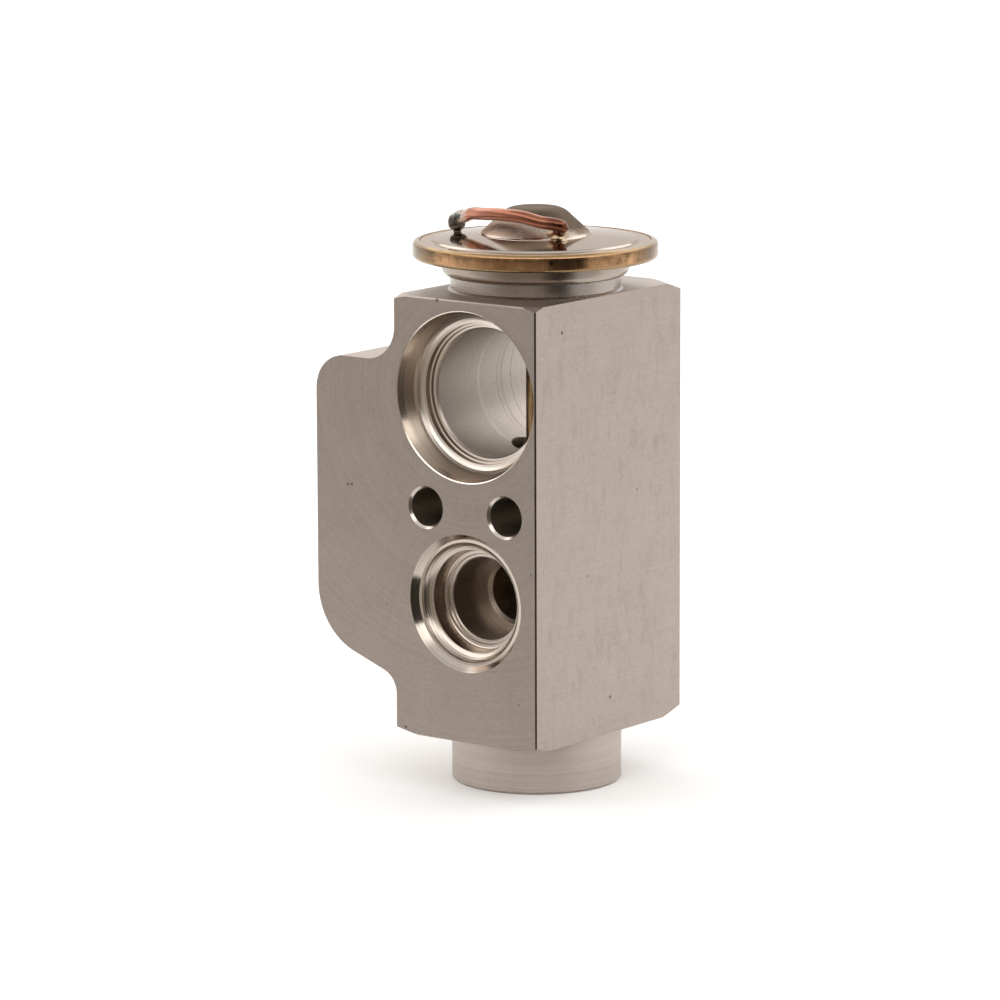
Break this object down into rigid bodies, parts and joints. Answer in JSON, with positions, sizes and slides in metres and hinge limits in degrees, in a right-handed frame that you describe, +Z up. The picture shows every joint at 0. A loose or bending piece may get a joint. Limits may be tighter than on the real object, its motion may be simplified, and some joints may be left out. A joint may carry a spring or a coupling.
{
  "type": "block expansion valve",
  "caption": "Ported aluminium expansion valve block with an ear, a welded power head with a curled charge tube on top, and a sprung ball valve and its adjusting screw inside.",
  "frame": {"origin": "on the valve's vertical axis, in the plane that the bottom spigot stands on", "axes": "+Z up along the valve axis towards the power head, -Y out of the front port face, -X towards the ear"},
  "size_m": [0.0442, 0.0355, 0.0831],
  "materials": {
    "block_aluminium": "machined, fine saw and cutter marks",
    "cover_steel": "pressed stainless sheet, smooth",
    "weld_bead": "weld bead with straw heat tint",
    "diaphragm_steel": "thin rolled sheet, smooth",
    "plate_metal": "turned",
    "copper": "drawn copper tube, slightly browned",
    "pale_solder": "frozen solder, cream to gold",
    "dark_solder": "dull dark solder",
    "seal_rubber": "moulded rubber",
    "rod_brass": "drawn and ground",
    "spring_steel": "bright spring steel",
    "seat_steel": "turned and lapped",
    "ball_steel": "polished bearing ball",
    "screw_brass": "turned brass"
  },
  "bodies": {
    "housing": {"valve_block": "block_aluminium", "upper_cover": "cover_steel", "lower_cover": "cover_steel", "rim_weld": "weld_bead", "diaphragm": "diaphragm_steel", "charge_tube": "copper", "tube_base_solder": "pale_solder", "tube_tip_solder": "dark_solder", "head_seal": "seal_rubber", "rod_damper": "spring_steel", "rod_seal_retainer": "spring_steel", "rod_seal_washer": "spring_steel", "rod_seal": "seal_rubber", "valve_seat": "seat_steel"},
    "valve_stem": {"diaphragm_plate": "plate_metal", "operating_rod": "rod_brass", "valve_ball": "ball_steel", "ball_carrier": "plate_metal"},
    "screw_carriage": {"superheat_spring": "spring_steel", "adjusting_screw_seal": "seal_rubber"},
    "adjuster": {"adjusting_screw": "screw_brass"}
  },
  "joints": [
    {"name": "valve_stroke", "type": "slide", "parent": "housing", "child": "valve_stem", "axis": [0, 0, 1], "range_m": [0, 0.0006], "stiffness_N_per_m": 15000, "springref_m": -0.002, "deforming": ["diaphragm", "superheat_spring"]},
    {"name": "screw_feed", "type": "slide", "parent": "housing", "child": "screw_carriage", "axis": [0, 0, 1], "range_m": [-0.001, 0.001], "deforming": ["superheat_spring"]},
    {"name": "screw_turn", "type": "hinge", "parent": "screw_carriage", "child": "adjuster", "pos_m": [0, 0, 0], "axis": [0, 0, 1], "range_deg": [-360, 360]}
  ],
  "couplings": [
    {"joint": "screw_turn", "follows": "screw_feed", "rad_per_m": 6283.2}
  ]
}
